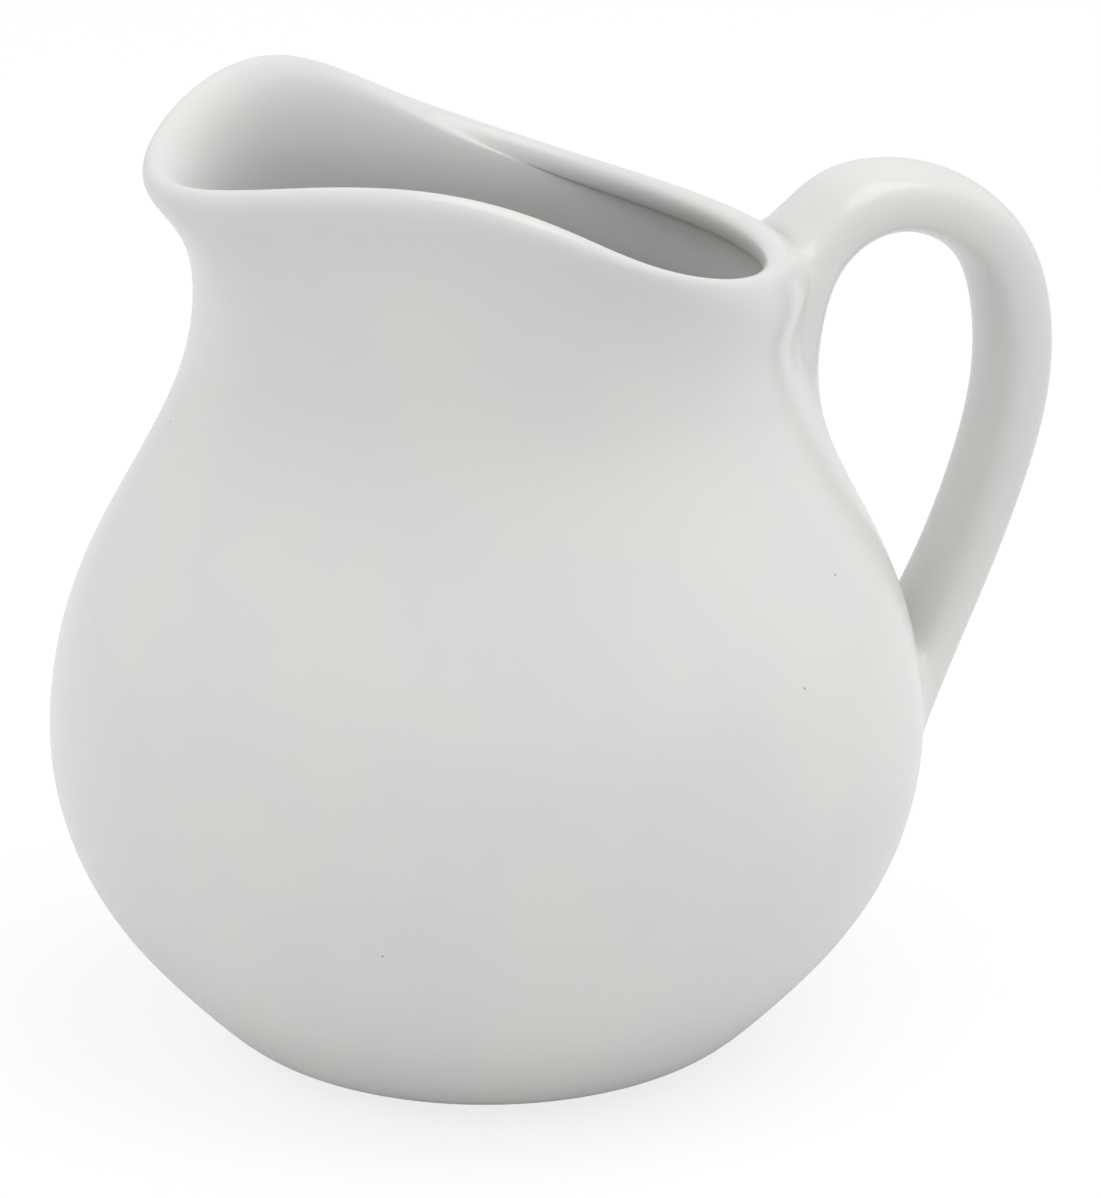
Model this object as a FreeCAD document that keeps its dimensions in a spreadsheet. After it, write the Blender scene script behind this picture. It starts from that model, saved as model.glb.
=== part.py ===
import FreeCAD, Part
import math
import os
import Sketcher

# Milk jug of glazed porcelain: a pear-shaped pot, a slanted mouth drawn out into a
# pouring lip, and a strap handle that leaves the rim, loops up and runs down to the belly.
# Frame: Z is up, the foot stands on Z = 0, the pot's axis is the Z axis, the handle
# points along +X and the lip along -X.  Millimetres.

SIZES = [
    # name, value, what it sets
    ("wall", 3.0, "thickness of the cast wall"),
    ("lip_radius", 1.4, "radius of the rounded rim"),
    ("base_height", 1.2, "underside of the base above the table"),
    ("base_flat_radius", 12.0, "flat middle of the base"),
    ("base_edge_radius", 20.5, "where the base begins to turn up"),
    ("base_edge_height", 0.9, "height of that turn"),
    ("heel_radius", 26.9, "cage ring under the belly"),
    ("heel_height", 1.4, "height of that ring"),
    ("bowl_radius", 31.8, "cage ring at the bottom of the belly"),
    ("bowl_height", 6.0, "height of that ring"),
    ("belly_radius", 41.9, "cage ring below the widest part"),
    ("belly_height", 17.0, "height of that ring"),
    ("girth_radius", 46.3, "cage ring at the widest part"),
    ("girth_height", 32.0, "height of that ring"),
    ("shoulder_radius", 43.0, "cage ring above the widest part"),
    ("shoulder_height", 49.0, "height of that ring"),
    ("throat_radius", 35.5, "cage ring where the pot draws in"),
    ("throat_height", 61.5, "height of that ring"),
    ("neck_radius", 29.7, "cage ring at the neck"),
    ("neck_height", 73.0, "height of that ring"),
    ("collar_radius", 30.3, "cage ring halfway up to the rim"),
    ("collar_shift", 1.3, "shift of the collar towards the handle"),
    ("collar_rise", 0.49, "share of the way from neck to rim"),
    ("flare_rise", 0.8, "share of the way up where the wall flares"),
    ("flare_spread", 0.66, "share of the way out from collar to rim there"),
    ("collar_fill", 0.6, "how far the collar stands out towards the handle"),
    ("flare_fill", 2.2, "how far the wall under the rim stands out there"),
    ("mouth_shift", 3.1, "shift of the mouth towards the lip"),
    ("mouth_half_length", 29.8, "half the mouth's length along X"),
    ("mouth_half_width", 32.2, "half the mouth's width along Y"),
    ("mouth_fullness", 0.9, "how far both ends move towards the handle"),
    ("lip_point", 1.7, "how far the pouring lip is drawn out"),
    ("lip_pinch", 2.8, "how far the sides close in behind the pouring lip"),
    ("rim_height", 91.0, "mean height of the rim"),
    ("rim_slope", 7.0, "rise of the rim from the middle to the pouring lip"),
    ("rim_crest", 3.1, "rise of the rim's sides over its two ends"),
    ("lip_dip", 1.25, "hollow of the pouring channel between its shoulders"),
    ("floor_height", 4.2, "inside floor above the table"),
    ("floor_flat_radius", 11.0, "flat middle of the inside floor"),
    ("floor_turn_radius", 21.0, "where the inside floor turns up"),
    ("foot_outer_radius", 22.4, "outside of the standing ring"),
    ("foot_width", 3.4, "width of the standing ring"),
    ("foot_root", 1.2, "how far the ring reaches up into the base"),
    ("foot_rounding", 0.7, "rounding of the ring's lower edges"),
    ("strap_half_width", 5.6, "half the handle's width along Y"),
    ("strap_squareness", 2.5, "2 gives an oval strap, more gives a squarer one"),
    ("root_width_gain", 0.5, "extra share of width where the handle leaves the rim"),
    ("tail_width_gain", 0.3, "extra share of width where the handle ends"),
    ("seat_share", 0.4, "share of the way from belly ring to girth ring where it ends"),
]

# The handle's line from inside the rim's wall, over the loop and down into the belly's
# wall.  Each station of its cage is measured from a point between the belly's seat
# (share 0) and the rim's handle end (share 1), so the handle follows both ends.
HANDLE_STATIONS = [
    # name, share, X and Z from that point, half the strap's thickness
    ("root", 1.0, -6.9, -12.1, 12.2),
    ("web", 1.0, -2.2, -8.9, 11.9),
    ("joint", 1.0, 2.0, -6.3, 8.7),
    ("spring", 1.0, 5.2, -2.0, 3.0),
    ("rise", 1.0, 11.6, 2.9, 3.8),
    ("crown", 1.0, 20.1, 2.4, 3.8),
    ("knuckle", 1.0, 27.7, -3.1, 3.7),
    ("back", 0.8, 27.23, 0.66, 3.6),
    ("grip", 0.6, 24.36, 4.02, 3.3),
    ("bend", 0.4, 19.38, 7.88, 3.0),
    ("run", 0.2, 13.31, 11.14, 2.9),
    ("tail", 0.0, 6.14, 14.0, 3.0),
    ("seat", 0.0, 0.24, 5.7, 3.8),
    ("anchor", 0.0, -5.06, -0.6, 3.2),
]

RING_POINTS = 16
STRAP_POINTS = 8
DEGREE = 3

# A cubic skin runs inside its cage.  The cage rings of the rim stand this much further
# out than the rim's own radius, beside it and over it.
RIM_REACH = 1.5
RIM_CROWN = 1.6

# The strap widens over this many stations of its line, towards the rim and its lower end.
ROOT_STATIONS = 4
TAIL_STATIONS = 3

document = FreeCAD.newDocument("Milk_jug")
sheet = document.addObject("Spreadsheet::Sheet", "Sizes")


def write_sizes():
    """One row for each driving size: its name, its value under an alias, what it sets."""
    rows = list(SIZES)
    for name, share, x, z, half in HANDLE_STATIONS:
        rows.append((f"handle_{name}_share", share, f"share of the way to the rim at its {name}"))
        rows.append((f"handle_{name}_x", x, f"handle line at its {name}, along X from there"))
        rows.append((f"handle_{name}_z", z, f"handle line at its {name}, height from there"))
        rows.append((f"handle_{name}_half", half, f"half the strap's thickness at its {name}"))
    for number, (name, value, meaning) in enumerate(rows, start=1):
        sheet.set(f"A{number}", name)
        sheet.set(f"B{number}", str(value))
        sheet.setAlias(f"B{number}", name)
        sheet.set(f"C{number}", meaning)
    document.recompute()


def size(name):
    return float(sheet.get(name))


# ---------------------------------------------------------------- smooth skins

def ring_softening(wave, count):
    """Share of a wave that a cubic skin keeps of a cage ring with so many points."""
    return (2.0 + math.cos(2.0 * math.pi * wave / count)) / 3.0


def ring_angles(count):
    return [2.0 * math.pi * step / count for step in range(count)]


def wave_sum(angle, cosines, sines):
    """Sum of low waves round the mouth, raised so that the finished skin has these sizes."""
    total = 0.0
    for wave, height in cosines:
        total += height * math.cos(wave * angle) / ring_softening(wave, RING_POINTS)
    for wave, height in sines:
        total += height * math.sin(wave * angle) / ring_softening(wave, RING_POINTS)
    return total


def circle_ring(radius, height, shift=0.0):
    points = []
    for angle in ring_angles(RING_POINTS):
        x = shift + wave_sum(angle, [(1, radius)], [])
        y = wave_sum(angle, [], [(1, radius)])
        points.append(FreeCAD.Vector(x, y, height))
    return points


def mouth_ring():
    """Middle line of the rounded rim: high and drawn out at the lip, low at the handle."""
    points = []
    for angle in ring_angles(RING_POINTS):
        x = wave_sum(angle, [(0, -size("mouth_shift")), (1, size("mouth_half_length")),
                             (2, size("mouth_fullness")), (3, size("lip_point"))], [])
        y = wave_sum(angle, [], [(1, size("mouth_half_width")), (2, size("lip_pinch"))])
        z = wave_sum(angle, [(0, size("rim_height")), (1, -size("rim_slope")),
                             (2, -size("rim_crest")), (3, size("lip_dip"))], [])
        points.append(FreeCAD.Vector(x, y, z))
    return points


def mix(start, end, across, up):
    """Points part of the way from one ring to another, across and up by their own shares."""
    return [FreeCAD.Vector(a.x + across * (b.x - a.x), a.y + across * (b.y - a.y),
                           a.z + up * (b.z - a.z)) for a, b in zip(start, end)]


def filled_ring(ring, reach):
    """A ring moved out, most in the handle's plane and not at all at the pouring lip."""
    moved = []
    for angle, point in zip(ring_angles(RING_POINTS), ring):
        share = (0.5 + 0.5 * math.cos(angle)) ** 2
        out = FreeCAD.Vector(math.cos(angle), math.sin(angle), 0.0)
        moved.append(point + out * (reach * share))
    return moved


def outer_rings():
    """Cage of the outside, from the flat of the base to just under the rim."""
    names = ["base_edge", "heel", "bowl", "belly", "girth", "shoulder", "throat", "neck"]
    rings = [circle_ring(size("base_flat_radius"), size("base_height"))]
    for name in names:
        rings.append(circle_ring(size(name + "_radius"), size(name + "_height")))
    mouth = mouth_ring()
    collar = circle_ring(size("collar_radius"), size("neck_height"), size("collar_shift"))
    middle = mix(collar, mouth, 0.0, size("collar_rise"))
    flare = mix(collar, mouth, size("flare_spread"), size("flare_rise"))
    rings.append(filled_ring(middle, size("collar_fill")))
    rings.append(filled_ring(flare, size("flare_fill")))
    return rings


def inward(rings, place, distance):
    """A ring moved square to the wall, away from the outside, by a distance."""
    below = rings[place - 1]
    above = rings[min(place + 1, len(rings) - 1)]
    moved = []
    for index, point in enumerate(rings[place]):
        along = above[index] - below[index]
        round_wall = rings[place][(index + 1) % RING_POINTS] - rings[place][index - 1]
        outward = round_wall.cross(along).normalize()
        moved.append(point - outward * distance)
    return moved


def rim_rings(flare, mouth):
    """Three cage rings that carry the skin over the rim as a half round."""
    reach = RIM_REACH * size("lip_radius")
    crown = RIM_CROWN * size("lip_radius")
    outside, top, inside = [], [], []
    for index, point in enumerate(mouth):
        along = (point - flare[index]).normalize()
        round_rim = mouth[(index + 1) % RING_POINTS] - mouth[index - 1]
        outward = round_rim.cross(along).normalize()
        outside.append(point + outward * reach)
        top.append(point + along * crown)
        inside.append(point - outward * reach)
    return [outside, top, inside]


def end_ring(last, before):
    """A ring past the end, which makes the skin stop exactly on the last ring."""
    return [point * 2.0 - other for point, other in zip(last, before)]


def skin_solid(rings):
    """Solid inside a cubic skin over cage rings, closed by a flat face at each end."""
    cage = [end_ring(rings[0], rings[1])] + rings + [end_ring(rings[-1], rings[-2])]
    count = len(rings[0])
    round_knots = [float(step) for step in range(count + 1)]
    long_knots = [float(step) for step in range(len(cage) + DEGREE + 1)]
    poles = [[ring[index] for ring in cage] for index in range(count)]
    surface = Part.BSplineSurface()
    surface.buildFromPolesMultsKnots(poles, [1] * len(round_knots), [1] * len(long_knots),
                                     round_knots, long_knots, True, False, DEGREE, DEGREE)
    surface.segment(round_knots[0], round_knots[-1],
                    long_knots[DEGREE], long_knots[-1 - DEGREE])
    side = surface.toShape()
    ends = [edge for edge in side.Edges if edge.isClosed() and not edge.isSeam(side)]
    caps = [Part.Face(Part.Wire(edge)) for edge in ends]
    shell = Part.makeShell([side] + caps)
    shell.sewShape()
    solid = Part.makeSolid(shell)
    if solid.Volume < 0:
        solid.reverse()
    return solid


# ---------------------------------------------------------------- the pot

def pot_shape():
    """Outside, rim and inside as one skin, so that the wall is closed all round."""
    outside = outer_rings()
    mouth = mouth_ring()
    inside = [inward(outside, place, size("wall")) for place in range(len(outside) - 1, 2, -1)]
    floor_turn = circle_ring(size("floor_turn_radius"), size("floor_height"))
    floor_flat = circle_ring(size("floor_flat_radius"), size("floor_height"))
    return skin_solid(outside + rim_rings(outside[-1], mouth) + inside + [floor_turn, floor_flat])


def core_shape():
    """Everything inside the middle of the wall: what the handle must not reach into."""
    outside = outer_rings()
    rings = [circle_ring(size("floor_flat_radius"), size("floor_height"))]
    rings += [inward(outside, place, 0.5 * size("wall")) for place in range(3, len(outside))]
    mouth = mouth_ring()
    lid_height = size("rim_height") + 2.0 * size("rim_slope")
    lid = [FreeCAD.Vector(point.x, point.y, lid_height) for point in mouth]
    return skin_solid(rings + [mouth, lid])


# ---------------------------------------------------------------- the handle

def strap_ring(centre, along, half_width, half_thickness):
    """Cage ring of the strap: a rounded section square to the handle's line."""
    power = 2.0 / size("strap_squareness")
    corner = math.cos(math.pi / 4.0) ** power
    softening_width = (4.0 + 2.0 * corner) / 6.0
    side = FreeCAD.Vector(0, 1, 0)
    upward = along.cross(side) * -1.0
    points = []
    for angle in ring_angles(STRAP_POINTS):
        across = math.copysign(abs(math.cos(angle)) ** power, math.cos(angle))
        over = math.copysign(abs(math.sin(angle)) ** power, math.sin(angle))
        points.append(centre + side * (half_width * across / softening_width)
                      + upward * (half_thickness * over / softening_width))
    return points


def rim_end():
    """Where the rim's middle line meets the handle."""
    x = (size("mouth_half_length") - size("mouth_shift")
         + size("mouth_fullness") + size("lip_point"))
    z = size("rim_height") - size("rim_slope") - size("rim_crest") + size("lip_dip")
    return FreeCAD.Vector(x, 0, z)


def belly_seat():
    """Between the two cage rings of the belly, where the handle comes down."""
    belly = FreeCAD.Vector(size("belly_radius"), 0, size("belly_height"))
    girth = FreeCAD.Vector(size("girth_radius"), 0, size("girth_height"))
    return belly + (girth - belly) * size("seat_share")


def handle_rings():
    upper, lower = rim_end(), belly_seat()
    stations = []
    for name, _, _, _, _ in HANDLE_STATIONS:
        start = lower + (upper - lower) * size(f"handle_{name}_share")
        offset = FreeCAD.Vector(size(f"handle_{name}_x"), 0, size(f"handle_{name}_z"))
        stations.append((start + offset, size(f"handle_{name}_half")))
    rings = []
    last = len(stations) - 1
    for place, (centre, half_thickness) in enumerate(stations):
        along = stations[min(place + 1, last)][0] - stations[max(place - 1, 0)][0]
        gain = max(0.0, 1.0 - place / ROOT_STATIONS) * size("root_width_gain")
        gain += max(0.0, 1.0 - (last - place) / TAIL_STATIONS) * size("tail_width_gain")
        width = (1.0 + gain) * size("strap_half_width")
        rings.append(strap_ring(centre, along.normalize(), width, half_thickness))
    return rings


# ---------------------------------------------------------------- document objects

def add_shape(label, shape):
    feature = document.addObject("Part::Feature", label)
    feature.Label = label
    feature.Shape = shape
    feature.Placement = FreeCAD.Placement()
    return feature


def origin_plane(body, role):
    for feature in body.Origin.OriginFeatures:
        if feature.Role == role:
            return feature
    raise RuntimeError("no plane " + role)


def add_foot():
    """Standing ring: a short section turned about the axis, its lower edges rounded."""
    body = document.addObject("PartDesign::Body", "Standing_ring")
    body.Label = "Standing_ring"
    sketch = body.newObject("Sketcher::SketchObject", "Ring_section")
    sketch.AttachmentSupport = [(origin_plane(body, "XZ_Plane"), "")]
    sketch.MapMode = "FlatFace"
    outer = size("foot_outer_radius")
    inner = outer - size("foot_width")
    top = size("base_height") + size("foot_root")
    corners = [(inner, 0.0), (outer, 0.0), (outer, top), (inner, top)]
    for index, corner in enumerate(corners):
        following = corners[(index + 1) % len(corners)]
        sketch.addGeometry(Part.LineSegment(FreeCAD.Vector(*corner, 0),
                                            FreeCAD.Vector(*following, 0)), False)
    for index in range(len(corners)):
        sketch.addConstraint(Sketcher.Constraint("Coincident", index, 2, (index + 1) % 4, 1))
    for index, direction in enumerate(["Horizontal", "Vertical", "Horizontal", "Vertical"]):
        sketch.addConstraint(Sketcher.Constraint(direction, index))
    drawn = [
        ("outer_radius", Sketcher.Constraint("DistanceX", -1, 1, 0, 2, outer),
         "Sizes.foot_outer_radius"),
        ("ring_width", Sketcher.Constraint("DistanceX", 0, 1, 0, 2, outer - inner),
         "Sizes.foot_width"),
        ("ring_top", Sketcher.Constraint("DistanceY", 1, 1, 1, 2, top),
         "Sizes.base_height + Sizes.foot_root"),
    ]
    sketch.addConstraint(Sketcher.Constraint("PointOnObject", 0, 1, -1))
    for name, constraint, formula in drawn:
        number = sketch.addConstraint(constraint)
        sketch.renameConstraint(number, name)
        sketch.setExpression("Constraints." + name, formula)
    turned = body.newObject("PartDesign::Revolution", "Turned_ring")
    turned.Profile = sketch
    turned.ReferenceAxis = (sketch, ["V_Axis"])
    turned.Angle = 360.0
    document.recompute()
    lower = []
    for number, edge in enumerate(turned.Shape.Edges, start=1):
        if edge.BoundBox.ZMax < 0.5 * top and edge.isClosed():
            lower.append(f"Edge{number}")
    rounded = body.newObject("PartDesign::Fillet", "Rounded_ring")
    rounded.Base = (turned, lower)
    rounded.setExpression("Radius", "Sizes.foot_rounding")
    body.Tip = rounded
    return body


def main():
    write_sizes()
    pot = add_shape("Pot", pot_shape())
    core = add_shape("Core", core_shape())
    strap = add_shape("Strap", skin_solid(handle_rings()))
    foot = add_foot()
    handle = document.addObject("Part::Cut", "Handle")
    handle.Base = strap
    handle.Tool = core
    jug = document.addObject("Part::MultiFuse", "jug")
    jug.Label = "jug"
    jug.Shapes = [pot, handle, foot]
    jug.Refine = False
    document.recompute()
    for item in document.Objects:
        if "Invalid" in item.State or "Error" in item.State:
            raise RuntimeError(f"{item.Label}: {item.State}")
        if hasattr(item, "Shape") and (item.Shape.isNull() or not item.Shape.isValid()):
            raise RuntimeError(f"{item.Label}: bad shape")
    if len(jug.Shape.Solids) != 1:
        raise RuntimeError("the jug is not one solid")
    os.makedirs("parts", exist_ok=True)
    jug.Shape.exportStep(os.path.join("parts", jug.Label + ".step"))
    print(f"jug volume {jug.Shape.Volume / 1000.0:.1f} cm3, box {jug.Shape.BoundBox}")


main()
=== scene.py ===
import math

import bmesh
import bpy
from bpy.props import FloatProperty, FloatVectorProperty, IntProperty, PointerProperty
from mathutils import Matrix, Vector


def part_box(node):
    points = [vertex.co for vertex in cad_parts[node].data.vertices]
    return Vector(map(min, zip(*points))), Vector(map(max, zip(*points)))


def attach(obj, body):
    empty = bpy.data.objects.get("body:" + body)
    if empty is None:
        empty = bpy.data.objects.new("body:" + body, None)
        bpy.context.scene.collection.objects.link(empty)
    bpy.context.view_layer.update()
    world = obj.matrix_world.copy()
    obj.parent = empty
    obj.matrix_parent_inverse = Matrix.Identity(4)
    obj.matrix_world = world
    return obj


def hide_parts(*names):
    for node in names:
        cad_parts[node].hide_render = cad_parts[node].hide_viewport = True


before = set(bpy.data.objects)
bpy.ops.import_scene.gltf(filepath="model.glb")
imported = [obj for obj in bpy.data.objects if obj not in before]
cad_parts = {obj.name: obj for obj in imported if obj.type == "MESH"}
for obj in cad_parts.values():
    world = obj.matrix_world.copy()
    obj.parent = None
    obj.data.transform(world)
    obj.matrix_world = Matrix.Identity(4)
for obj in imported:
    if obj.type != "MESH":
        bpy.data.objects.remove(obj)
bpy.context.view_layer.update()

bl_info = {
    "name": "Porcelain milk jug",
    "version": (1, 0, 0),
    "blender": (4, 5, 0),
    "location": "View3D > Sidebar > Milk jug",
    "description": "Models a pear-shaped milk jug with a loop handle, its glaze and its stage",
    "category": "Object",
}

# All lengths follow the frame: this is half the width of the belly that they were drawn for.
DRAWN_HALF_WIDTH = 45.04
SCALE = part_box("jug")[1].y / DRAWN_HALF_WIDTH

# Points round each ring of the pot, and steps from a strap's underside to its upper side.
COLUMNS = 24
STRAP_ROWS = 3


def mm(value):
    """A length given in millimetres, at the frame's scale, in metres."""
    return value * SCALE


def pair(radius, height):
    return (mm(radius), mm(height))


def ring_prop(name, radius, height, description):
    return FloatVectorProperty(name=name, description=description + ": radius and height",
                               size=2, default=pair(radius, height), subtype="NONE",
                               unit="LENGTH", precision=5)


def length_prop(name, value, description):
    return FloatProperty(name=name, description=description, default=mm(value),
                         subtype="DISTANCE", unit="LENGTH", precision=5)


def number_prop(name, value, description):
    return FloatProperty(name=name, description=description, default=value)


def colour_prop(name, value, description):
    return FloatVectorProperty(name=name, description=description, default=value,
                               subtype="COLOR", size=3)


def strap_prop(name, upper, under, half_width):
    """Upper side X and Z, underside X and Z, and half the width of the strap."""
    values = tuple(mm(value) for value in (*upper, *under, half_width))
    return FloatVectorProperty(name=name, size=5, default=values, unit="LENGTH", precision=5,
                               description="Strap here: upper side X and Z, underside X and Z,"
                                           " half the width")


# ------------------------------------------------------------------------- sizes

class JugPotSizes(bpy.types.PropertyGroup):
    """Cage rings of the pot from the sole to the neck, and the shape of the mouth."""
    sole: ring_prop("Sole", 11.5, 1.2, "Flat middle of the underside")
    recess: ring_prop("Recess", 16.6, 1.2, "Edge of the recess inside the standing ring")
    ring_inner_root: ring_prop("Ring inner root", 18.7, 1.15, "Inner root of the standing ring")
    ring_inner_edge: ring_prop("Ring inner edge", 19.0, 0.12, "Inner edge of the standing ring")
    ring_inner_tread: ring_prop("Inner tread", 19.9, 0.0, "Inner edge of what meets the table")
    ring_outer_tread: ring_prop("Outer tread", 21.5, 0.0, "Outer edge of what meets the table")
    ring_outer_edge: ring_prop("Ring outer edge", 22.4, 0.12, "Outer edge of the standing ring")
    ring_outer_root: ring_prop("Ring outer root", 22.8, 1.15, "Outer root of the standing ring")
    turn: ring_prop("Turn", 24.4, 1.15, "Where the base turns up")
    heel: ring_prop("Heel", 27.3, 1.6, "Under the belly")
    bowl: ring_prop("Bowl", 31.7, 6.0, "Bottom of the belly")
    low_belly: ring_prop("Low belly", 38.1, 12.9, "Below the belly")
    seat_foot: ring_prop("Seat foot", 42.3, 19.7, "Lower end of the handle's seat")
    belly: ring_prop("Belly", 44.4, 26.2, "Below the widest part")
    girth: ring_prop("Girth", 45.2, 31.9, "Widest part")
    seat_head: ring_prop("Seat head", 44.9, 38.0, "Upper end of the handle's seat")
    shoulder: ring_prop("Shoulder", 43.5, 45.5, "Above the widest part")
    slope: ring_prop("Slope", 40.2, 53.6, "Where the pot draws in")
    throat: ring_prop("Throat", 34.9, 62.6, "Under the handle's root")
    neck: ring_prop("Neck", 29.7, 73.1, "Narrowest part")
    collar_radius: length_prop("Collar radius", 30.3, "Radius halfway up to the rim")
    collar_shift: length_prop("Collar shift", 1.3, "Shift of the collar towards the handle")
    collar_rise: number_prop("Collar rise", 0.49, "Share of the way from neck to rim")
    flare_rise: number_prop("Flare rise", 0.8, "Share of the way up where the wall flares")
    flare_spread: number_prop("Flare spread", 0.66, "Share of the way out to the rim there")
    collar_fill: length_prop("Collar fill", 0.6, "How far the collar stands out at the handle")
    flare_fill: length_prop("Flare fill", 2.2, "How far the wall stands out there")
    mouth_shift: length_prop("Mouth shift", 3.1, "Shift of the mouth towards the lip")
    mouth_half_length: length_prop("Mouth half length", 29.8, "Half the mouth along X")
    mouth_half_width: length_prop("Mouth half width", 32.2, "Half the mouth along Y")
    mouth_fullness: length_prop("Mouth fullness", 0.9, "Shift of both ends to the handle")
    lip_point: length_prop("Lip point", 1.7, "How far the pouring lip is drawn out")
    lip_pinch: length_prop("Lip pinch", 2.8, "How far the sides close in behind the lip")
    rim_height: length_prop("Rim height", 91.0, "Mean height of the rim")
    rim_slope: length_prop("Rim slope", 7.0, "Rise from the middle to the pouring lip")
    rim_crest: length_prop("Rim crest", 3.1, "Rise of the sides over the two ends")
    lip_dip: length_prop("Lip dip", 1.25, "Hollow of the pouring channel")
    wall: length_prop("Wall", 3.0, "Thickness of the wall")
    lip_radius: length_prop("Lip radius", 1.4, "Radius of the rounded rim")
    floor_turn: ring_prop("Floor turn", 21.0, 4.2, "Where the inside floor turns up")
    floor_flat: ring_prop("Floor flat", 11.0, 4.2, "Flat middle of the inside floor")


class JugHandleSizes(bpy.types.PropertyGroup):
    """Stations of the strap, from the rim over the loop and down to the belly."""
    joint: strap_prop("Joint", (32.3, 82.7), (35.0, 70.6), 7.4)
    spring: strap_prop("Spring", (35.4, 85.2), (36.3, 77.2), 6.3)
    rise: strap_prop("Rise", (39.8, 88.8), (41.8, 81.6), 5.8)
    crown: strap_prop("Crown", (50.7, 88.3), (48.1, 81.1), 5.6)
    knuckle: strap_prop("Knuckle", (60.0, 81.4), (54.0, 77.0), 5.6)
    back: strap_prop("Back", (63.0, 71.6), (55.8, 70.6), 5.6)
    grip: strap_prop("Grip", (62.7, 62.2), (56.1, 63.0), 5.6)
    bend: strap_prop("Bend", (60.2, 53.7), (54.4, 55.5), 5.6)
    run: strap_prop("Run", (56.8, 44.9), (51.4, 47.1), 5.6)
    tail: strap_prop("Tail", (52.4, 35.5), (47.6, 39.3), 5.9)
    seat: strap_prop("Seat", (47.1, 26.4), (46.3, 36.0), 7.8)
    squareness: number_prop("Squareness", 2.5, "2 gives an oval strap, more a squarer one")


class JugLook(bpy.types.PropertyGroup):
    """Colours and finish of the fired porcelain, and the painted shade inside it."""
    glaze: colour_prop("Glaze", (0.718, 0.711, 0.693), "White body under clear glaze")
    glaze_pool: colour_prop("Pooled glaze", (0.69, 0.69, 0.68), "Where glaze lies thicker")
    # Painted shade: the darker colour painted on the inside of the pot, below the rim.
    painted_inside_shade: colour_prop("Glaze inside", (0.49, 0.486, 0.475), "Thickest glaze inside")
    biscuit: colour_prop("Biscuit", (0.70, 0.67, 0.62), "Bare standing ring")
    speck: colour_prop("Speck", (0.30, 0.28, 0.26), "Iron specks fired into the glaze")
    gloss: FloatProperty(name="Roughness", description="Roughness of the glaze", default=0.2,
                         min=0.0, max=1.0, subtype="FACTOR")
    levels: IntProperty(name="Smoothness", description="Subdivision steps", default=3, min=1,
                        max=4)


class JugStage(bpy.types.PropertyGroup):
    """Camera, floor and soft light of the studio."""
    azimuth: FloatProperty(name="Azimuth", description="Camera's turn round the jug",
                           default=math.radians(-22.0), subtype="ANGLE", unit="ROTATION")
    elevation: FloatProperty(name="Elevation", description="Camera's height over the table",
                             default=math.radians(20.0), subtype="ANGLE", unit="ROTATION")
    distance: length_prop("Distance", 650.0, "Camera to the middle of the view")
    aim_side: length_prop("Aim to the right", 6.6, "Middle of the view, to the camera's right")
    aim_height: length_prop("Aim height", 46.5, "Middle of the view over the table")
    lens: FloatProperty(name="Focal length", description="Lens on a 36 mm wide sensor",
                        default=207.0, unit="CAMERA")
    room: number_prop("Room light", 0.5, "Even light of the white tent")
    ceiling: number_prop("Ceiling", 0.05, "Light added overhead")
    right_wall: number_prop("Right wall", 0.94, "Light added from the right")
    left_wall: number_prop("Left wall", 1.14, "Light added from the left")
    back_wall: number_prop("Back wall", 0.0, "Light added from behind")
    front_wall: number_prop("Front wall", 0.1, "Light added from the camera's side")
    rim_lamp: number_prop("Rim lamp", 1.2, "Watts of the soft lamp overhead")
    lamp_size: length_prop("Lamp size", 460.0, "Width of the lamp")
    lamp_right: length_prop("Lamp right", 120.0, "How far to the right the lamp hangs")
    lamp_front: length_prop("Lamp front", 60.0, "How far in front the lamp hangs")
    lamp_height: length_prop("Lamp height", 560.0, "Height of the lamp over the table")
    shadow_share: number_prop("Shadow", 0.3, "Share of the floor's shading seen")
    floor_lift: number_prop("Floor lift", 0.08, "White added to the seen floor")


# ------------------------------------------------------------------------- cage points

def ring_softening(wave):
    """Share of a wave round the pot that the smooth skin keeps of the cage ring."""
    return (2.0 + math.cos(2.0 * math.pi * wave / COLUMNS)) / 3.0


def column_angle(column):
    return 2.0 * math.pi * column / COLUMNS


def circle_points(radius, height, shift=0.0):
    reach = radius / ring_softening(1)
    return [Vector((shift + reach * math.cos(column_angle(column)),
                    reach * math.sin(column_angle(column)), height))
            for column in range(COLUMNS)]


def wave_sum(angle, wave_heights, wave_form):
    return sum(height * wave_form(wave * angle) / ring_softening(wave)
               for wave, height in wave_heights.items())


def mouth_points(pot):
    """Middle line of the rim: high and drawn out at the lip, low at the handle."""
    along = {0: -pot.mouth_shift, 1: pot.mouth_half_length, 2: pot.mouth_fullness,
             3: pot.lip_point}
    across = {1: pot.mouth_half_width, 2: pot.lip_pinch}
    up = {0: pot.rim_height, 1: -pot.rim_slope, 2: -pot.rim_crest, 3: pot.lip_dip}
    points = []
    for column in range(COLUMNS):
        angle = column_angle(column)
        points.append(Vector((wave_sum(angle, along, math.cos),
                              wave_sum(angle, across, math.sin),
                              wave_sum(angle, up, math.cos))))
    return points


def part_way(start, end, across, up):
    """Points part of the way from one ring to another, across and up by their own shares."""
    return [Vector((a.x + across * (b.x - a.x), a.y + across * (b.y - a.y),
                    a.z + up * (b.z - a.z))) for a, b in zip(start, end)]


def fill_ring(ring, reach):
    """Moves a ring out, most in the handle's plane and not at all at the lip."""
    for column, point in enumerate(ring):
        angle = column_angle(column)
        share = (0.5 + 0.5 * math.cos(angle)) ** 2
        point.x += reach * share * math.cos(angle)
        point.y += reach * share * math.sin(angle)


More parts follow.
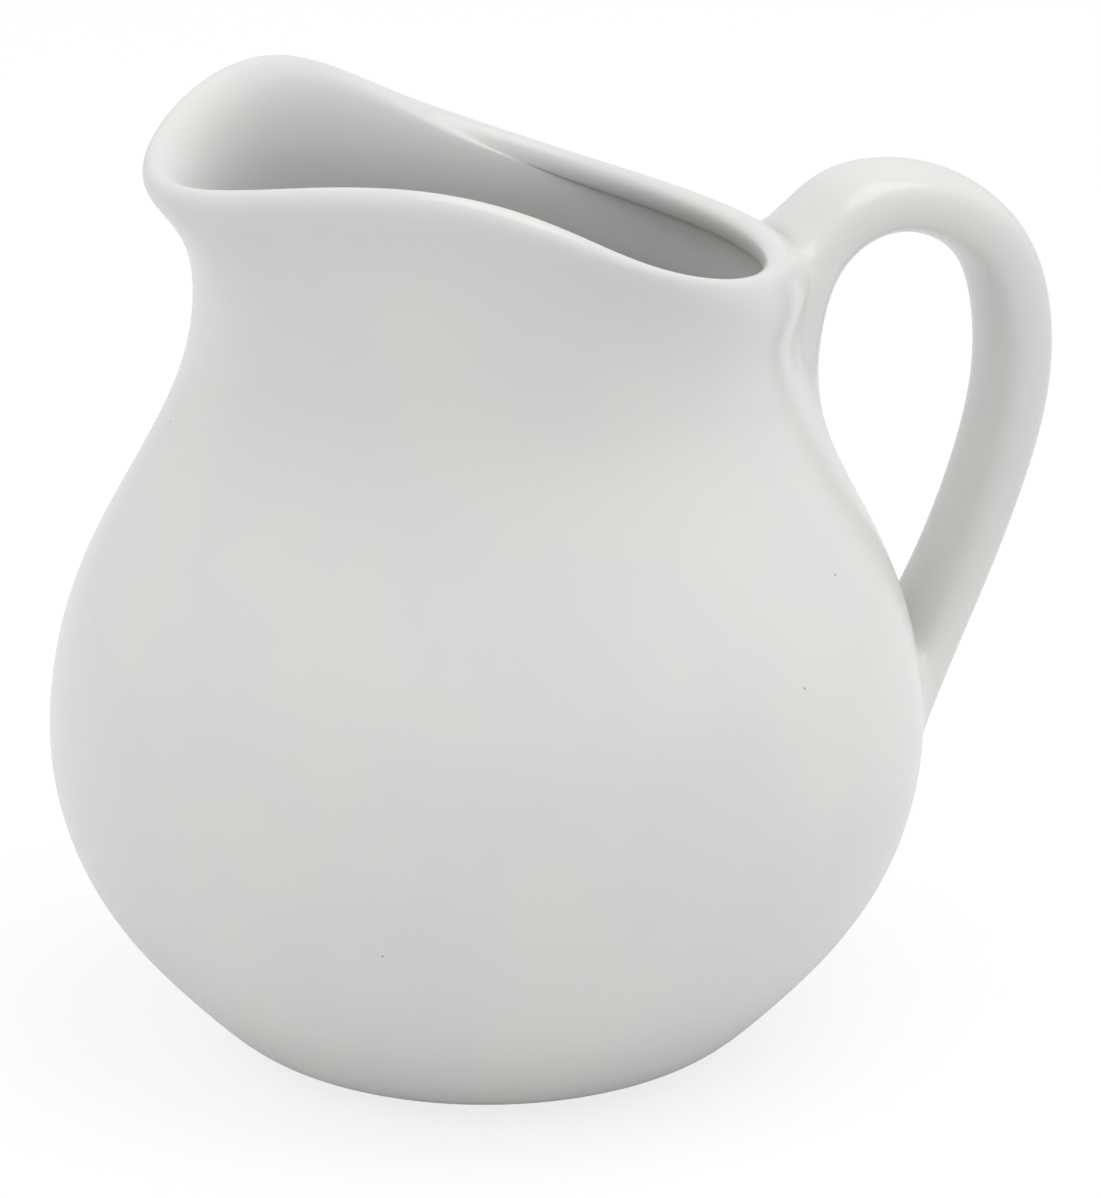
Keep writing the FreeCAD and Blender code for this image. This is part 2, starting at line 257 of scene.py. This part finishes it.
def outward_of(ring, column, along):
    """Unit vector square to the wall at one point of a ring."""
    round_wall = ring[(column + 1) % COLUMNS] - ring[column - 1]
    return round_wall.cross(along).normalized()


def inner_points(rings, place, distance):
    """A ring moved square to the wall, into the pot."""
    below = rings[place - 1]
    above = rings[min(place + 1, len(rings) - 1)]
    return [point - outward_of(rings[place], column, above[column] - below[column]) * distance
            for column, point in enumerate(rings[place])]


# A cubic skin runs inside its cage, so the rim's cage stands this much further out than
# the rim's own radius, beside it and over it.
RIM_REACH = 1.5
RIM_CROWN = 1.6

# The rings over the rim: outside, top and inside.
RIM_RINGS = 3


def rim_points(pot, flare, mouth):
    """The rings that carry the skin over the rim as a half round."""
    outside, top, inside = [], [], []
    for column, point in enumerate(mouth):
        along = (point - flare[column]).normalized()
        outward = outward_of(mouth, column, along)
        outside.append(point + outward * RIM_REACH * pot.lip_radius)
        top.append(point + along * RIM_CROWN * pot.lip_radius)
        inside.append(point - outward * RIM_REACH * pot.lip_radius)
    return [outside, top, inside]


# Rings by name, from the underside up the outside.
UNDERSIDE = ("recess", "ring_inner_root", "ring_inner_edge", "ring_inner_tread",
             "ring_outer_tread", "ring_outer_edge", "ring_outer_root", "turn", "heel")
WALL = ("bowl", "low_belly", "seat_foot", "belly", "girth", "seat_head", "shoulder",
        "slope", "throat", "neck")
UPPER_WALL = ("collar", "flare")
OUTSIDE = UNDERSIDE + WALL + UPPER_WALL


# How far the wall rises towards the handle's root: out and up, for the points of each ring
# in the handle's plane, beside it and one further.  The inside keeps its shape.
ROOT_SWELL = {
    "neck": ((0.0, 0.0), (0.5, 0.0), (0.3, 0.0)),
    "collar": ((0.0, 0.0), (0.5, 0.0), (0.1, 0.0)),
    "flare": ((0.4, 1.2), (0.2, 0.9), (0.0, 0.2)),
}


def swell_root(ring, steps):
    """Moves the point in the handle's plane and its neighbours on both sides."""
    for step, (out, up) in enumerate(steps):
        columns = (step, -step) if step else (step,)
        for column in columns:
            ring[column] = ring[column] + Vector((mm(out), 0.0, mm(up)))


def pot_rings(pot):
    """Every ring of the pot's cage: underside, wall, rim, inside and floor."""
    underside = [circle_points(*getattr(pot, name)) for name in UNDERSIDE]
    wall = [circle_points(*getattr(pot, name)) for name in WALL]
    mouth = mouth_points(pot)
    collar = circle_points(pot.collar_radius, pot.neck[1], pot.collar_shift)
    wall.append(part_way(collar, mouth, 0.0, pot.collar_rise))
    wall.append(part_way(collar, mouth, pot.flare_spread, pot.flare_rise))
    fill_ring(wall[-2], pot.collar_fill)
    fill_ring(wall[-1], pot.flare_fill)
    outside = [underside[-1]] + wall
    inside = [inner_points(outside, place, pot.wall) for place in range(len(outside) - 1, 0, -1)]
    floor = [circle_points(*pot.floor_turn), circle_points(*pot.floor_flat)]
    rim = rim_points(pot, wall[-1], mouth)
    for name, ring in zip(WALL + UPPER_WALL, wall):
        swell_root(ring, ROOT_SWELL.get(name, ()))
    return underside + wall + rim + inside + floor


# Angles of a strap section's cage points round its middle, measured from its width.
CORNER_ANGLE = math.radians(48.0)
SIDE_ANGLE = math.radians(17.0)


def strap_section(squareness):
    """Cage points of a strap section, as shares of half its width and half its thickness.

    They are keyed by row, from the underside to the upper side, and by flank: the strap's
    middle or one of its sides."""
    power = 2.0 / squareness
    corner = (math.cos(CORNER_ANGLE) ** power, math.sin(CORNER_ANGLE) ** power)
    side = (math.cos(SIDE_ANGLE) ** power, math.sin(SIDE_ANGLE) ** power)
    # A cubic skin weighs its cage points 1, 23, 23 and 1 midway between rows, and 1, 4 and 1
    # at a row, so it keeps these shares of the width and of the thickness.
    width_kept = (2.0 * corner[0] + 46.0 * side[0]) / 48.0
    thickness_kept = (4.0 + 2.0 * corner[1]) / 6.0
    rows = [(corner, -1.0), (side, -1.0), (side, 1.0), (corner, 1.0)]
    places = {}
    for row, ((across, over), sign) in enumerate(rows):
        for flank in (-1, 0, 1):
            height = sign * over
            if flank == 0 and row in (0, STRAP_ROWS):
                height = sign
            places[row, flank] = (flank * across / width_kept, height / thickness_kept)
    return places


def strap_points(station, section):
    """Cage points of one strap section, by row and flank."""
    upper = Vector((station[0], 0.0, station[1]))
    under = Vector((station[2], 0.0, station[3]))
    middle = (upper + under) / 2.0
    over = (upper - under) / 2.0
    side = Vector((0.0, station[4], 0.0))
    return {key: middle + side * across + over * height
            for key, (across, height) in section.items()}


# ------------------------------------------------------------------------- modelling by hand

def into_edit(piece):
    bpy.ops.object.select_all(action="DESELECT")
    piece.select_set(True)
    bpy.context.view_layer.objects.active = piece
    bpy.ops.object.mode_set(mode="EDIT")


def out_of_edit():
    bpy.ops.object.mode_set(mode="OBJECT")


def select_vertices(piece, chosen):
    """Selects the vertices at the given numbers, and the edges and faces between them."""
    mesh = bmesh.from_edit_mesh(piece.data)
    mesh.verts.ensure_lookup_table()
    bpy.ops.mesh.select_all(action="DESELECT")
    for number in chosen:
        mesh.verts[number].select = True
    mesh.select_flush(True)
    bmesh.update_edit_mesh(piece.data)


def nearest_selected(piece, places):
    """For each named place, the number of the selected vertex that lies on it."""
    mesh = bmesh.from_edit_mesh(piece.data)
    left = [vertex for vertex in mesh.verts if vertex.select]
    found = {}
    for key, place in places.items():
        vertex = min(left, key=lambda item: (item.co - place).length_squared)
        left.remove(vertex)
        found[key] = vertex.index
    return found


def move_to(piece, old, new):
    """Moves the selected vertices one by one from their old places to their new ones."""
    numbers = nearest_selected(piece, old)
    for key, number in numbers.items():
        select_vertices(piece, [number])
        bpy.ops.transform.translate(value=new[key] - old[key])
    select_vertices(piece, list(numbers.values()))


def select_wall_patch(piece, corners):
    """Selects the faces whose every corner is one of the given places."""
    mesh = bmesh.from_edit_mesh(piece.data)
    wanted = set()
    for place in corners:
        vertex = min(mesh.verts, key=lambda item: (item.co - place).length_squared)
        wanted.add(vertex.index)
    bpy.ops.mesh.select_all(action="DESELECT")
    for face in mesh.faces:
        if all(vertex.index in wanted for vertex in face.verts):
            face.select = True
    bmesh.update_edit_mesh(piece.data)


def patch_places(rings):
    """Points in the handle's plane and one column to either side, by row and flank."""
    return {(row, flank): ring[flank] for row, ring in enumerate(rings) for flank in (-1, 0, 1)}


# Painted shade inside the pot deepens over this many rings below the rim.  It is darkest
# towards +Y: an even share, and a share that turns with the side.
DEEPENING_RINGS = 2.0
EVEN_SHADE_SHARE = 0.65
PLUS_Y_SHADE_SHARE = 0.35


def mark_inside_shade(piece):
    """Writes how much painted shade the inside of the pot gets at each point of the cage."""
    rings_before = 1 + len(OUTSIDE) + RIM_RINGS
    inside = piece.data.attributes.new("inside", "FLOAT", "POINT")
    for vertex in piece.data.vertices:
        ring, column = divmod(vertex.index, COLUMNS)
        depth = (ring - rings_before + 1) / DEEPENING_RINGS
        # The vertices of a new circle start at +Y.
        towards_plus_y = math.cos(column_angle(column))
        # Painted shade: an even share all round the inside, and more towards +Y.
        thickness = EVEN_SHADE_SHARE + PLUS_Y_SHADE_SHARE * towards_plus_y
        inside.data[vertex.index].value = thickness * max(0.0, min(1.0, depth))


class JUG_OT_pot(bpy.types.Operator):
    """Model the pot: one closed cage from the sole, over the rim, to the inside floor"""
    bl_idname = "jug.pot"
    bl_label = "Pot"

    def execute(self, context):
        pot = context.scene.jug_pot
        rings = pot_rings(pot)
        bpy.ops.object.select_all(action="DESELECT")
        radius, height = pot.sole
        bpy.ops.mesh.primitive_circle_add(vertices=COLUMNS, radius=radius / ring_softening(1),
                                          fill_type="NGON", location=(0.0, 0.0, height))
        piece = context.object
        piece.name = "porcelain_jug"
        bpy.ops.object.transform_apply(location=True, rotation=True, scale=True)
        into_edit(piece)
        bpy.ops.mesh.select_all(action="SELECT")
        old = dict(enumerate(circle_points(radius, height)))
        for ring in rings:
            new = dict(enumerate(ring))
            bpy.ops.mesh.extrude_edges_move()
            move_to(piece, old, new)
            old = new
        bpy.ops.mesh.edge_face_add()
        bpy.ops.mesh.select_all(action="SELECT")
        bpy.ops.mesh.normals_make_consistent(inside=False)
        out_of_edit()
        mark_inside_shade(piece)
        return {"FINISHED"}


STATIONS = ("joint", "spring", "rise", "crown", "knuckle", "back", "grip", "bend", "run",
            "tail", "seat")

# Rings that bound the wall where the strap leaves it and where it comes back.
ROOT_RINGS = ("throat", "neck", "collar", "flare")
SEAT_RINGS = ("seat_head", "girth", "belly", "seat_foot")


class JUG_OT_handle(bpy.types.Operator):
    """Draw the strap handle out of the wall at the rim and join it into the belly"""
    bl_idname = "jug.handle"
    bl_label = "Handle"

    def execute(self, context):
        pot, handle = context.scene.jug_pot, context.scene.jug_handle
        piece = bpy.data.objects["porcelain_jug"]
        rings = dict(zip(OUTSIDE, pot_rings(pot)))
        root = patch_places([rings[name] for name in ROOT_RINGS])
        foot = patch_places([rings[name] for name in SEAT_RINGS])
        section = strap_section(handle.squareness)
        into_edit(piece)
        select_wall_patch(piece, root.values())
        old = root
        for name in STATIONS:
            new = strap_points(getattr(handle, name), section)
            bpy.ops.mesh.extrude_region_move()
            move_to(piece, old, new)
            old = new
        bpy.ops.mesh.delete(type="FACE")
        select_wall_patch(piece, foot.values())
        bpy.ops.mesh.delete(type="FACE")
        bpy.ops.mesh.select_mode(type="EDGE")
        bpy.ops.mesh.select_all(action="DESELECT")
        bpy.ops.mesh.select_non_manifold()
        bpy.ops.mesh.bridge_edge_loops()
        bpy.ops.mesh.select_mode(type="VERT")
        bpy.ops.mesh.select_all(action="SELECT")
        bpy.ops.mesh.normals_make_consistent(inside=False)
        out_of_edit()
        return {"FINISHED"}


class JUG_OT_smooth(bpy.types.Operator):
    """Smooth the cage into the fired shape and tie it to the frame"""
    bl_idname = "jug.smooth"
    bl_label = "Smooth and fit"

    def execute(self, context):
        look = context.scene.jug_look
        piece = bpy.data.objects["porcelain_jug"]
        bpy.ops.object.select_all(action="DESELECT")
        piece.select_set(True)
        context.view_layer.objects.active = piece
        skin = piece.modifiers.new("Skin", "SUBSURF")
        skin.levels = look.levels
        skin.render_levels = look.levels
        bpy.ops.object.modifier_apply(modifier=skin.name)
        bpy.ops.object.shade_smooth()
        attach(piece, "root")
        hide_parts("jug")
        return {"FINISHED"}


# ------------------------------------------------------------------------- material

class Nodes:
    """Adds and links nodes in one material."""

    def __init__(self, material):
        material.use_nodes = True
        self.tree = material.node_tree
        self.tree.nodes.clear()

    def add(self, kind, **values):
        node = self.tree.nodes.new(kind)
        for name, value in values.items():
            setattr(node, name, value)
        return node

    def link(self, source, target):
        self.tree.links.new(source, target)

    def math(self, operation, first, second=None, clamp=False):
        node = self.add("ShaderNodeMath", operation=operation, use_clamp=clamp)
        for place, value in enumerate((first, second)):
            if value is None:
                continue
            if isinstance(value, (int, float)):
                node.inputs[place].default_value = value
            else:
                self.link(value, node.inputs[place])
        return node.outputs[0]

    def noise(self, vector, scale, detail=2.0, roughness=0.5):
        node = self.add("ShaderNodeTexNoise")
        node.inputs["Scale"].default_value = scale
        node.inputs["Detail"].default_value = detail
        node.inputs["Roughness"].default_value = roughness
        self.link(vector, node.inputs["Vector"])
        return node.outputs["Fac"]

    def ramp(self, source, low, high):
        """0 below low, 1 above high, smooth between."""
        node = self.add("ShaderNodeMapRange", interpolation_type="SMOOTHSTEP")
        node.inputs["From Min"].default_value = low
        node.inputs["From Max"].default_value = high
        self.link(source, node.inputs["Value"])
        return node.outputs["Result"]

    def mix(self, factor, first, second):
        node = self.add("ShaderNodeMix", data_type="RGBA")
        sockets = (node.inputs["Factor"], node.inputs[6], node.inputs[7])
        for socket, value in zip(sockets, (factor, first, second)):
            if hasattr(value, "is_output"):
                self.link(value, socket)
            elif isinstance(value, float):
                socket.default_value = value
            else:
                socket.default_value = (*value, 1.0)
        return node.outputs[2]


# Patterns of the glaze: how fine each is, per metre, and how strong, in millimetres for
# the two that raise the surface.
CLOUD_SCALE, CLOUD_EDGES = 38.0, (0.38, 0.66)
ROUGHNESS_SCALE, ROUGHNESS_SPREAD = 90.0, 0.06
SWELL_SCALE, SWELL_DEPTH = 24.0, 0.22
SKIN_SCALE, SKIN_DEPTH = 420.0, 0.012
GLAZE_IOR = 1.5

# The bare standing ring: where the glaze ends, in height and in radius, and its grain.
BARE_HEIGHTS = (0.28, 0.5)
BARE_RADII = (18.2, 18.6)
BARE_ROUGHNESS = 0.6
GRAIN_SCALE, GRAIN_SHADE = 2600.0, 0.8

# Iron specks fired into the glaze: along, across, height and radius, with a soft edge.
SPECK_CORE = 0.4
SPECKS = ((-2.6, -31.0, 88.0, 0.15), (25.9, -29.2, 55.4, 0.2), (18.6, -38.2, 47.5, 0.2),
          (-31.9, 5.5, 68.0, 0.22), (-25.1, -36.0, 25.0, 0.16))


def span(limits):
    """Two lengths given in millimetres."""
    return [mm(value) for value in limits]


def specks(nodes, place):
    """1 in the middle of a speck, 0 away from all of them."""
    speck = 0.0
    for along, across, height, size in SPECKS:
        reach = nodes.add("ShaderNodeVectorMath", operation="DISTANCE")
        nodes.link(place, reach.inputs[0])
        reach.inputs[1].default_value = (mm(along), mm(across), mm(height))
        beyond = nodes.ramp(reach.outputs["Value"], SPECK_CORE * mm(size), mm(size))
        speck = nodes.math("ADD", nodes.math("SUBTRACT", 1.0, beyond), speck)
    return speck


def bare_ring(nodes, place):
    """1 on the tread of the standing ring, 0 on the glaze."""
    parts = nodes.add("ShaderNodeSeparateXYZ")
    nodes.link(place, parts.inputs[0])
    x, y, z = parts.outputs
    radius = nodes.math("SQRT", nodes.math("ADD", nodes.math("MULTIPLY", x, x),
                                           nodes.math("MULTIPLY", y, y)))
    low = nodes.math("SUBTRACT", 1.0, nodes.ramp(z, *span(BARE_HEIGHTS)))
    return nodes.math("MULTIPLY", low, nodes.ramp(radius, *span(BARE_RADII)))


def raised(nodes, place, scale, detail, depth, under=None):
    """A bump of the given depth, laid over another one."""
    bump = nodes.add("ShaderNodeBump")
    bump.inputs["Strength"].default_value = 1.0
    bump.inputs["Distance"].default_value = mm(depth)
    nodes.link(nodes.noise(place, scale, detail), bump.inputs["Height"])
    if under is not None:
        nodes.link(under, bump.inputs["Normal"])
    return bump.outputs[0]


def porcelain_material(look):
    """White porcelain under clear glaze, bare where the standing ring was wiped, with painted
    shade inside.
    """
    material = bpy.data.materials.new("glazed_porcelain")
    nodes = Nodes(material)
    place = nodes.add("ShaderNodeTexCoord").outputs["Object"]
    shader = nodes.add("ShaderNodeBsdfPrincipled")
    output = nodes.add("ShaderNodeOutputMaterial")
    nodes.link(shader.outputs[0], output.inputs["Surface"])

    cloud = nodes.ramp(nodes.noise(place, CLOUD_SCALE, 3.0), *CLOUD_EDGES)
    colour = nodes.mix(cloud, look.glaze, look.glaze_pool)
    # Painted shade: the inside of the pot is darkened by its mask, more below the rim and
    # towards +Y.
    inside = nodes.add("ShaderNodeAttribute", attribute_name="inside").outputs["Fac"]
    colour = nodes.mix(inside, colour, look.painted_inside_shade)
    colour = nodes.mix(specks(nodes, place), colour, look.speck)
    bare = bare_ring(nodes, place)
    grain = nodes.mix(nodes.noise(place, GRAIN_SCALE, 4.0, 0.7), look.biscuit,
                      tuple(GRAIN_SHADE * value for value in look.biscuit))
    nodes.link(nodes.mix(bare, colour, grain), shader.inputs["Base Color"])

    varied = nodes.math("MULTIPLY", nodes.noise(place, ROUGHNESS_SCALE, 3.0), ROUGHNESS_SPREAD)
    rough = nodes.math("ADD", varied, look.gloss - ROUGHNESS_SPREAD / 2.0)
    nodes.link(nodes.math("ADD", rough, nodes.math("MULTIPLY", bare, BARE_ROUGHNESS)),
               shader.inputs["Roughness"])
    shader.inputs["IOR"].default_value = GLAZE_IOR
    swell = raised(nodes, place, SWELL_SCALE, 1.0, SWELL_DEPTH)
    nodes.link(raised(nodes, place, SKIN_SCALE, 2.0, SKIN_DEPTH, under=swell),
               shader.inputs["Normal"])
    return material


class JUG_OT_glaze(bpy.types.Operator):
    """Give the jug its glazed porcelain"""
    bl_idname = "jug.glaze"
    bl_label = "Glaze"

    def execute(self, context):
        piece = bpy.data.objects["porcelain_jug"]
        piece.data.materials.clear()
        piece.data.materials.append(porcelain_material(context.scene.jug_look))
        return {"FINISHED"}


# ------------------------------------------------------------------------- stage

# Millimetres: the floor's side, the sensor that the lens is given for, and the reach of
# the camera's view.
FLOOR_SIZE = 6000.0
SENSOR_WIDTH = 36.0
NEAREST_SEEN, FARTHEST_SEEN = 20.0, 20000.0


def seen_directly(nodes):
    """1 for camera, glossy and transmission rays, 0 for the rays that carry light."""
    path = nodes.add("ShaderNodeLightPath").outputs
    seen = nodes.math("ADD", path["Is Camera Ray"], path["Is Glossy Ray"], clamp=True)
    return nodes.math("ADD", seen, path["Is Transmission Ray"], clamp=True)


PAPER_WHITE = (0.80, 0.80, 0.80, 1.0)


def floor_material(share, lift):
    """Matt white paper that shows as white and keeps a faint shadow of the jug.

    The camera sees only a share of the paper's own shading, the rest as plain white."""
    material = bpy.data.materials.new("paper_floor")
    nodes = Nodes(material)
    paper = nodes.add("ShaderNodeBsdfDiffuse")
    paper.inputs["Color"].default_value = PAPER_WHITE
    glow = nodes.add("ShaderNodeEmission")
    nodes.link(nodes.math("MULTIPLY", seen_directly(nodes), lift), glow.inputs["Strength"])
    white = nodes.add("ShaderNodeEmission")
    white.inputs["Strength"].default_value = 1.0
    direct = nodes.add("ShaderNodeLightPath").outputs["Is Camera Ray"]
    shading = nodes.add("ShaderNodeMixShader")
    nodes.link(nodes.math("MULTIPLY", direct, 1.0 - share), shading.inputs[0])
    nodes.link(paper.outputs[0], shading.inputs[1])
    nodes.link(white.outputs[0], shading.inputs[2])
    both = nodes.add("ShaderNodeAddShader")
    nodes.link(shading.outputs[0], both.inputs[0])
    nodes.link(glow.outputs[0], both.inputs[1])
    output = nodes.add("ShaderNodeOutputMaterial")
    nodes.link(both.outputs[0], output.inputs["Surface"])
    return material


def light_room(scene, stage):
    """Soft light of a white tent: an even level, and more from each of its walls.

    The tent itself is seen as plain white."""
    world = bpy.data.worlds.new("white_tent")
    scene.world = world
    nodes = Nodes(world)
    room = nodes.add("ShaderNodeBackground")
    direction = nodes.add("ShaderNodeTexCoord").outputs["Generated"]
    front, right = stage_directions(stage)
    walls = {"ceiling": Vector((0.0, 0.0, 1.0)), "right_wall": right, "left_wall": -right,
             "back_wall": -front, "front_wall": front}
    light = stage.room
    for name, facing in walls.items():
        towards = nodes.add("ShaderNodeVectorMath", operation="DOT_PRODUCT")
        nodes.link(direction, towards.inputs[0])
        towards.inputs[1].default_value = facing
        lobe = nodes.ramp(towards.outputs["Value"], 0.0, 1.0)
        light = nodes.math("ADD", nodes.math("MULTIPLY", lobe, getattr(stage, name)), light)
    seen = seen_directly(nodes)
    unseen = nodes.math("MULTIPLY", light, nodes.math("SUBTRACT", 1.0, seen))
    nodes.link(nodes.math("ADD", unseen, seen), room.inputs["Strength"])
    output = nodes.add("ShaderNodeOutputWorld")
    nodes.link(room.outputs[0], output.inputs["Surface"])


def stage_directions(stage):
    """Level directions: towards the camera's side of the room, and to the camera's right."""
    along, across = math.cos(stage.azimuth), math.sin(stage.azimuth)
    return Vector((across, -along, 0.0)), Vector((along, across, 0.0))


def place_holder(name, data, place, towards):
    """Puts a lamp or a camera at its place, facing along a direction."""
    holder = bpy.data.objects.new(name, data)
    bpy.context.scene.collection.objects.link(holder)
    holder.location = place
    holder.rotation_euler = towards.to_track_quat("-Z", "Y").to_euler()
    return holder


def add_floor(stage):
    bpy.ops.object.select_all(action="DESELECT")
    bpy.ops.mesh.primitive_plane_add(size=mm(FLOOR_SIZE), location=(0.0, 0.0, 0.0))
    floor = bpy.context.object
    floor.name = "floor"
    floor.data.materials.append(floor_material(stage.shadow_share, stage.floor_lift))


def add_lamp(stage):
    """One wide soft lamp overhead, turned to the middle of the view."""
    lamp = bpy.data.lights.new("rim_lamp", "AREA")
    lamp.shape = "SQUARE"
    lamp.size = stage.lamp_size
    lamp.energy = stage.rim_lamp
    front, right = stage_directions(stage)
    place = (Vector((0.0, 0.0, stage.lamp_height)) + front * stage.lamp_front
             + right * stage.lamp_right)
    place_holder("rim_lamp", lamp, place, Vector((0.0, 0.0, stage.aim_height)) - place)


def add_camera(scene, stage):
    camera = bpy.data.cameras.new("camera")
    camera.lens = stage.lens
    camera.sensor_width = SENSOR_WIDTH
    camera.sensor_fit = "HORIZONTAL"
    camera.clip_start = mm(NEAREST_SEEN)
    camera.clip_end = mm(FARTHEST_SEEN)
    front, right = stage_directions(stage)
    target = right * stage.aim_side + Vector((0.0, 0.0, stage.aim_height))
    away = front * math.cos(stage.elevation) + Vector((0.0, 0.0, math.sin(stage.elevation)))
    scene.camera = place_holder("camera", camera, target + away * stage.distance, -away)


class JUG_OT_stage(bpy.types.Operator):
    """Set up the floor, the white tent, the soft lamp and the camera"""
    bl_idname = "jug.stage"
    bl_label = "Stage"

    def execute(self, context):
        scene = context.scene
        add_floor(scene.jug_stage)
        light_room(scene, scene.jug_stage)
        add_lamp(scene.jug_stage)
        add_camera(scene, scene.jug_stage)
        scene.view_settings.view_transform = "Standard"
        return {"FINISHED"}


class JUG_PT_panel(bpy.types.Panel):
    """Lists the steps that make the jug"""
    bl_idname = "JUG_PT_panel"
    bl_label = "Milk jug"
    bl_space_type = "VIEW_3D"
    bl_region_type = "UI"
    bl_category = "Milk jug"

    def draw(self, context):
        for step in STEPS:
            self.layout.operator(step.bl_idname)


STEPS = (JUG_OT_pot, JUG_OT_handle, JUG_OT_smooth, JUG_OT_glaze, JUG_OT_stage)
GROUPS = {"jug_pot": JugPotSizes, "jug_handle": JugHandleSizes, "jug_look": JugLook,
          "jug_stage": JugStage}


def register():
    for item in (*GROUPS.values(), *STEPS, JUG_PT_panel):
        bpy.utils.register_class(item)
    for name, group in GROUPS.items():
        setattr(bpy.types.Scene, name, PointerProperty(type=group))


def unregister():
    for name in GROUPS:
        delattr(bpy.types.Scene, name)
    for item in reversed((*GROUPS.values(), *STEPS, JUG_PT_panel)):
        bpy.utils.unregister_class(item)


def main():
    register()
    bpy.ops.jug.pot()
    bpy.ops.jug.handle()
    bpy.ops.jug.smooth()
    bpy.ops.jug.glaze()
    bpy.ops.jug.stage()


if __name__ == "__main__":
    main()
